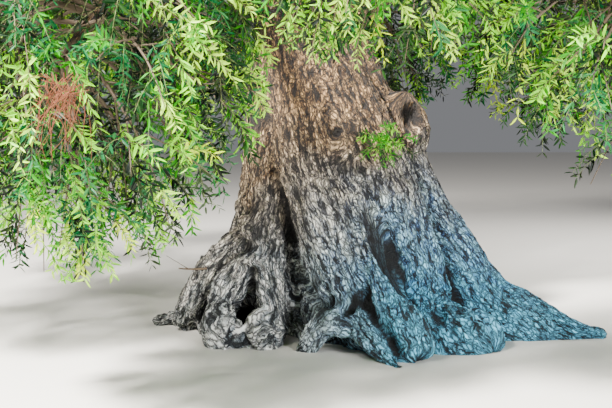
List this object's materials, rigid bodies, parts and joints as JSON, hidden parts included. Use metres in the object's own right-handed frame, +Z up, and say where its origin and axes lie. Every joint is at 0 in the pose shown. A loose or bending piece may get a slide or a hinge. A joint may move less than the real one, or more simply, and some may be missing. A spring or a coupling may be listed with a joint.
{
  "type": "olive tree",
  "caption": "Ancient olive tree: squat fluted trunk with flaring surface roots, arching boughs and hanging masses of narrow leaves, cut flat at ground level.",
  "frame": {"origin": "in the flat cut under the trunk, at ground level, a little left of the middle of the foot", "axes": "+Z up, along the trunk; -Y towards the picture's side; +X to the right as seen from there, along the longest surface root"},
  "size_m": [8.1144, 7.5273, 6.1693],
  "materials": {
    "bark": "rough, deeply fissured bark",
    "bough_bark": "rough bark",
    "leaf": "satin leaves, paler underneath"
  },
  "bodies": {
    "root": {"bough_back": "bough_bark", "bough_back_left": "bough_bark", "bough_back_right": "bough_bark", "bough_front": "bough_bark", "bough_front_left": "bough_bark", "bough_front_right": "bough_bark", "bough_left_back": "bough_bark", "bough_left_front": "bough_bark", "bough_right_back": "bough_bark", "bough_right_front": "bough_bark", "bough_top_left": "bough_bark", "bough_top_right": "bough_bark", "bough_upper_back": "bough_bark", "bough_upper_front": "bough_bark", "bough_upper_left": "bough_bark", "bough_upper_rear": "bough_bark", "bough_upper_right": "bough_bark", "foliage_back": "leaf", "foliage_back_left": "leaf", "foliage_back_right": "leaf", "foliage_front": "leaf", "foliage_front_left": "leaf", "foliage_front_right": "leaf", "foliage_left_back": "leaf", "foliage_left_front": "leaf", "foliage_right_back": "leaf", "foliage_right_front": "leaf", "foliage_top_left": "leaf", "foliage_top_right": "leaf", "foliage_trunk_shoot": "leaf", "foliage_upper_back": "leaf", "foliage_upper_front": "leaf", "foliage_upper_left": "leaf", "foliage_upper_rear": "leaf", "foliage_upper_right": "leaf", "trunk": "bark"}
  },
  "joints": []
}
